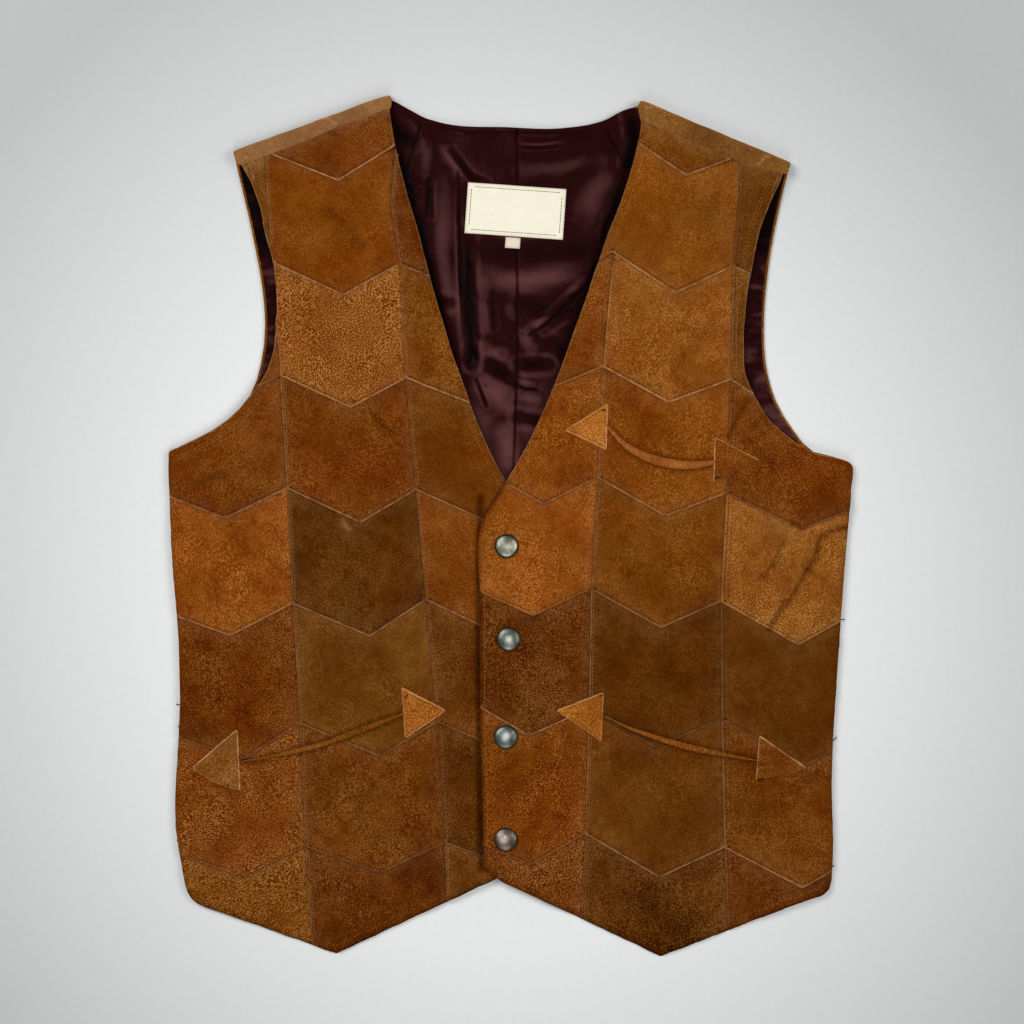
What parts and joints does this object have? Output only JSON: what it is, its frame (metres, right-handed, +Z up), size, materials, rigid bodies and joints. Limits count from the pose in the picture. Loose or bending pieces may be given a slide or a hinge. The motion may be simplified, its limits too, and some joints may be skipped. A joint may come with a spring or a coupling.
{
  "type": "patchwork suede vest laid flat",
  "caption": "Waist-length V-neck vest of pointed suede patches, lined, with welt pockets and a snapped front, laid flat on its back.",
  "frame": {"origin": "middle of the surface that the back rests on, under the centre of the vest's outline", "axes": "+Z up from the surface, +Y from hem to neck, +X towards the wearer's left"},
  "size_m": [0.48, 0.6028, 0.0099],
  "materials": {
    "suede_umber": "napped suede",
    "suede_olive": "napped suede",
    "suede_brown": "napped suede",
    "suede_chestnut": "napped suede",
    "suede_rust": "napped suede",
    "suede_amber": "napped suede",
    "suede_tan": "napped suede",
    "suede_sand": "napped suede",
    "suede_trim": "napped suede",
    "lining_satin": "satin",
    "label_cloth": "woven",
    "snap_metal": "aged nickel plate"
  },
  "bodies": {
    "root": {"back": "suede_sand", "back_lining": "lining_satin", "right_side_patch_2": "suede_chestnut", "right_side_patch_3": "suede_chestnut", "right_side_patch_4": "suede_rust", "right_side_patch_5": "suede_amber", "right_side_patch_6": "suede_brown", "right_side_patch_7": "suede_rust", "right_side_patch_8": "suede_rust", "right_middle_patch_1": "suede_chestnut", "right_middle_patch_2": "suede_rust", "right_middle_patch_3": "suede_tan", "right_middle_patch_4": "suede_chestnut", "right_middle_patch_5": "suede_olive", "right_middle_patch_6": "suede_brown", "right_middle_patch_7": "suede_brown", "right_middle_patch_8": "suede_olive", "right_centre_patch_2": "suede_brown", "right_centre_patch_3": "suede_rust", "right_centre_patch_4": "suede_brown", "right_centre_patch_5": "suede_rust", "right_centre_patch_6": "suede_brown", "right_centre_patch_7": "suede_olive", "right_centre_patch_8": "suede_brown", "left_centre_patch_3": "suede_rust", "left_centre_patch_4": "suede_amber", "left_centre_patch_5": "suede_tan", "left_centre_patch_6": "suede_brown", "left_centre_patch_7": "suede_chestnut", "left_centre_patch_8": "suede_brown", "left_middle_patch_1": "suede_rust", "left_middle_patch_2": "suede_rust", "left_middle_patch_3": "suede_tan", "left_middle_patch_4": "suede_rust", "left_middle_patch_5": "suede_rust", "left_middle_patch_6": "suede_olive", "left_middle_patch_7": "suede_brown", "left_middle_patch_8": "suede_umber", "left_side_patch_2": "suede_brown", "left_side_patch_3": "suede_brown", "left_side_patch_4": "suede_chestnut", "left_side_patch_5": "suede_tan", "left_side_patch_6": "suede_brown", "left_side_patch_7": "suede_brown", "left_side_patch_8": "suede_brown", "chest_inner_tab": "suede_trim", "chest_outer_tab": "suede_trim", "right_hip_outer_tab": "suede_trim", "right_hip_inner_tab": "suede_trim", "left_hip_inner_tab": "suede_trim", "left_hip_outer_tab": "suede_trim", "chest_welt": "suede_trim", "right_hip_welt": "suede_trim", "left_hip_welt": "suede_trim", "snap_1": "snap_metal", "snap_2": "snap_metal", "snap_3": "snap_metal", "snap_4": "snap_metal", "neck_label": "label_cloth", "size_tag": "label_cloth"}
  },
  "joints": []
}
